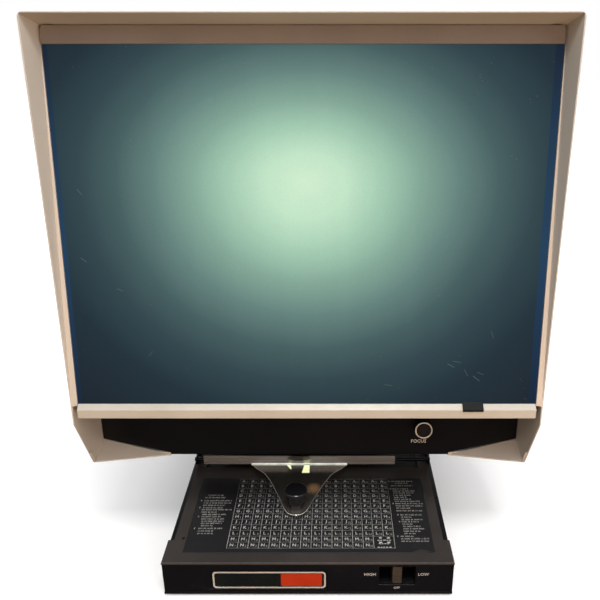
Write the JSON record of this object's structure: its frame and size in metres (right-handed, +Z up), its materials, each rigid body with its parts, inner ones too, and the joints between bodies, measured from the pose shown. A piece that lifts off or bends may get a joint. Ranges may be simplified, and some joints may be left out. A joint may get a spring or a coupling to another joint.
{
  "type": "microfiche reader",
  "caption": "Desktop microfiche reader with a hooded rear-projection screen, a sliding glass fiche carriage over a low index base, a focus knob and a lamp switch.",
  "frame": {"origin": "middle of the footprint, on the surface the rubber feet stand on", "axes": "+Z up, -Y towards the user (the screen and the nameplate face -Y), +X to the user's right"},
  "size_m": [0.3676, 0.392, 0.444],
  "materials": {
    "hood_putty": "fine-textured putty beige moulding",
    "panel_black": "satin black",
    "base_black": "satin black with a fine texture",
    "deck_brown": "textured brown-black",
    "stage_black": "matt black",
    "index_print": "black print with a white index grid",
    "name_print": "black plate with a pale border and a red block",
    "switch_black": "satin",
    "lever_brown": "satin brown-black",
    "knob_black": "gloss black",
    "foot_rubber": "matt",
    "nylon": "dark nylon",
    "steel": "plain",
    "bar_chrome": "bright plate",
    "aluminium": "black anodised",
    "trim_cream": "satin champagne",
    "strip_brown": "satin",
    "clip_grey": "satin",
    "screen_green": "matt tinted projection face",
    "clear_glass": "polished",
    "mirror": "front-silvered",
    "ceramic": "glazed ceramic",
    "brass": "plated",
    "winding": "varnished copper winding under tape",
    "core_iron": "varnished laminations"
  },
  "bodies": {
    "base": {"base_pan": "base_black", "rubber_feet": "foot_rubber", "deck_cover": "deck_brown", "index_plate": "index_print", "stage_plate": "stage_black", "field_lens": "clear_glass", "front_fascia": "base_black", "nameplate": "name_print", "switch_housing": "switch_black", "lamp_house": "steel", "condenser_lens": "clear_glass", "heat_glass": "clear_glass", "lamp": "clear_glass", "lamp_reflector": "aluminium", "lamp_socket": "ceramic", "stage_mirror": "mirror", "stage_mirror_block": "stage_black", "power_inlet": "switch_black", "inlet_pins": "brass", "rear_column": "panel_black", "transformer_core": "core_iron", "transformer_coil": "winding", "hood_shell": "hood_putty", "rear_cover": "hood_putty", "cover_screws": "steel", "hood_floor": "stage_black", "lower_front_panel": "panel_black", "focus_bush": "panel_black", "screen": "screen_green", "top_strip": "strip_brown", "bottom_trim": "trim_cream", "screen_clip": "clip_grey", "first_mirror": "mirror", "first_mirror_bracket": "stage_black", "rear_mirror": "mirror", "rear_mirror_bracket": "stage_black", "mirror_clips": "steel", "lens_mount": "aluminium", "focus_bearing": "aluminium"},
    "focus_drive": {"focus_knob": "knob_black", "focus_knob_ring": "bar_chrome", "focus_shaft": "steel"},
    "lens_unit": {"lens_barrel": "aluminium", "lens_elements": "clear_glass", "focus_arm": "aluminium"},
    "carriage": {"carriage_frame": "stage_black", "cross_rods": "stage_black", "glide_shoes": "nylon"},
    "carrier": {"carrier_frame": "stage_black", "lower_glass": "clear_glass", "slide_bushings": "nylon", "front_bar": "bar_chrome", "pointer_tongue": "bar_chrome", "handle_knob": "knob_black", "handle_screw": "steel", "lid_hinge_pin": "steel"},
    "lid": {"upper_glass": "clear_glass", "glass_hinge_strip": "steel"},
    "switch": {"switch_lever": "lever_brown"}
  },
  "joints": [
    {"name": "carriage_y", "type": "slide", "parent": "base", "child": "carriage", "axis": [0, 1, 0], "range_m": [-0.048, 0.056]},
    {"name": "carriage_x", "type": "slide", "parent": "carriage", "child": "carrier", "axis": [1, 0, 0], "range_m": [-0.056, 0.081]},
    {"name": "glass_lid", "type": "hinge", "parent": "carrier", "child": "lid", "pos_m": [-0.0125, 0.051, 0.0477], "axis": [-1, 0, 0], "range_deg": [0, 7]},
    {"name": "focus_turn", "type": "hinge", "parent": "base", "child": "focus_drive", "pos_m": [0.096, -0.12562, 0.1223], "axis": [0, -0.989, 0.1478], "range_deg": [-60, 60]},
    {"name": "lens_travel", "type": "slide", "parent": "base", "child": "lens_unit", "axis": [0, 0, 1], "range_m": [-0.00137, 0.00137]},
    {"name": "power_switch", "type": "hinge", "parent": "base", "child": "switch", "pos_m": [0.0728, -0.183, 0.021], "axis": [0, 0, 1], "range_deg": [-20, 20]}
  ],
  "couplings": [
    {"joint": "focus_turn", "follows": "lens_travel", "rad_per_m": -766.28}
  ]
}
